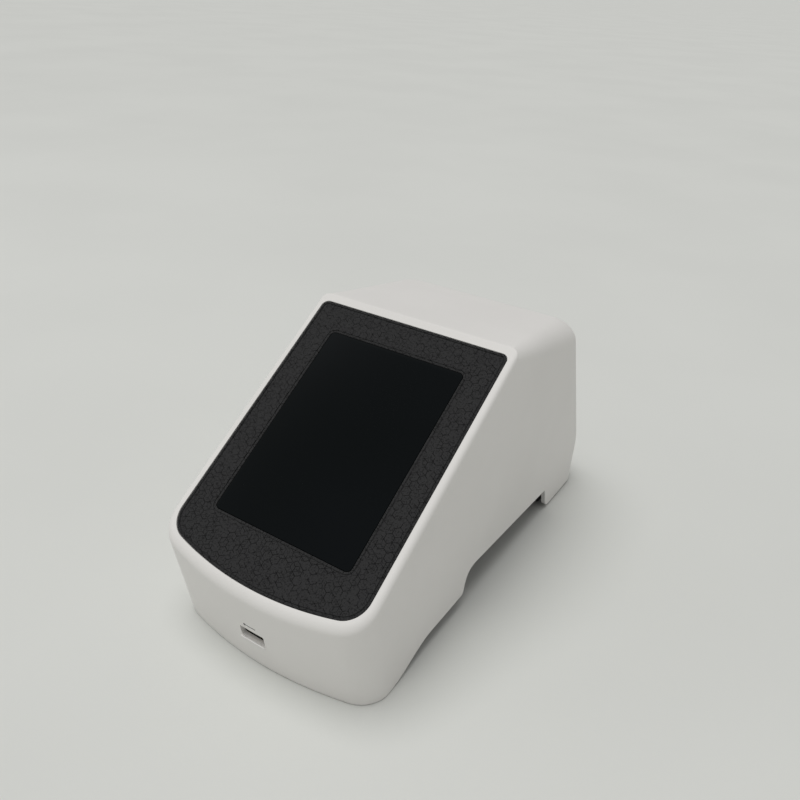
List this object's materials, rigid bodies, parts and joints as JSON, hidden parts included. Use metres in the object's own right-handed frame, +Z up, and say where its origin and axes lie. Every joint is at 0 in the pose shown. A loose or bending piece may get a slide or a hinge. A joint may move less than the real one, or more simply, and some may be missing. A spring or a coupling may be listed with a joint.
{
  "type": "electrophoresis power supply",
  "caption": "Wedge-shaped benchtop lab power supply with a portrait touch display on the sloping face, a front USB port and a rear panel of output sockets.",
  "frame": {"origin": "on the bench surface, under the middle of the case", "axes": "+X to the right seen from the front, +Y to the rear, +Z up"},
  "size_m": [0.133, 0.29, 0.1538],
  "materials": {
    "shell": "satin moulded, fine spark texture",
    "bezel": "satin printed overlay",
    "glass": "gloss touch panel over a dark display",
    "foam": "closed-cell foam",
    "aluminium": "brushed",
    "steel": "plated",
    "brass": "bright turned",
    "board": "solder-masked laminate",
    "black_plastic": "moulded",
    "red_plastic": "moulded",
    "white_plastic": "moulded",
    "panel": "powder coat",
    "tray": "powder coat",
    "rubber": "matt",
    "winding": "tape over enamelled wire",
    "ferrite": "ground ferrite",
    "capacitor": "sleeved can"
  },
  "bodies": {
    "case": {"upper_shell": "shell", "bezel_overlay": "bezel", "touch_glass": "glass", "display_gasket": "foam", "lcd_module": "aluminium", "display_bracket": "steel", "control_board": "board", "control_pillar_upper_left": "brass", "control_pillar_upper_right": "brass", "control_pillar_lower_left": "brass", "control_pillar_lower_right": "brass", "processor_shield": "steel", "buzzer": "black_plastic", "display_ribbon": "white_plastic", "usb_receptacle": "steel", "usb_contact_block": "white_plastic", "usb_board": "board", "base_tray": "tray", "base_screw_front_left": "steel", "base_screw_front_right": "steel", "base_screw_rear_left": "steel", "base_screw_rear_right": "steel", "rubber_foot_front_left": "rubber", "rubber_foot_front_right": "rubber", "rubber_foot_rear_left": "rubber", "rubber_foot_rear_right": "rubber", "power_board": "board", "board_spacer_front_left": "brass", "board_spacer_front_right": "brass", "board_spacer_rear_left": "brass", "board_spacer_rear_right": "brass", "transformer_core": "ferrite", "transformer_winding": "winding", "heat_sink": "aluminium", "capacitor_left": "capacitor", "capacitor_right": "capacitor", "rear_panel": "panel", "panel_screw_lower_left": "steel", "panel_screw_lower_right": "steel", "panel_screw_upper_left": "steel", "panel_screw_upper_right": "steel", "output_socket_red_1": "red_plastic", "output_socket_red_2": "red_plastic", "output_socket_red_3": "red_plastic", "output_socket_black_1": "black_plastic", "output_socket_black_2": "black_plastic", "output_socket_black_3": "black_plastic", "fan_frame": "black_plastic", "fan_guard": "steel", "inlet_body": "black_plastic", "inlet_pin_line": "steel", "inlet_pin_earth": "steel", "inlet_pin_neutral": "steel", "switch_housing": "black_plastic"},
    "fan": {"fan_rotor": "black_plastic"},
    "rocker": {"switch_rocker": "red_plastic"},
    "drawer": {"fuse_drawer": "black_plastic", "fuse": "brass"}
  },
  "joints": [
    {"name": "fan_spin", "type": "hinge", "parent": "case", "child": "fan", "pos_m": [0.021, 0.12117, 0.06535], "axis": [0, 0.9178, 0.3971], "continuous": true},
    {"name": "rocker_tilt", "type": "hinge", "parent": "case", "child": "rocker", "pos_m": [-0.036, 0.11062, 0.10383], "axis": [-1, 0, 0], "range_deg": [0, 18]},
    {"name": "drawer_slide", "type": "slide", "parent": "case", "child": "drawer", "axis": [0, 0.9178, 0.3971], "range_m": [0, 0.014]}
  ]
}
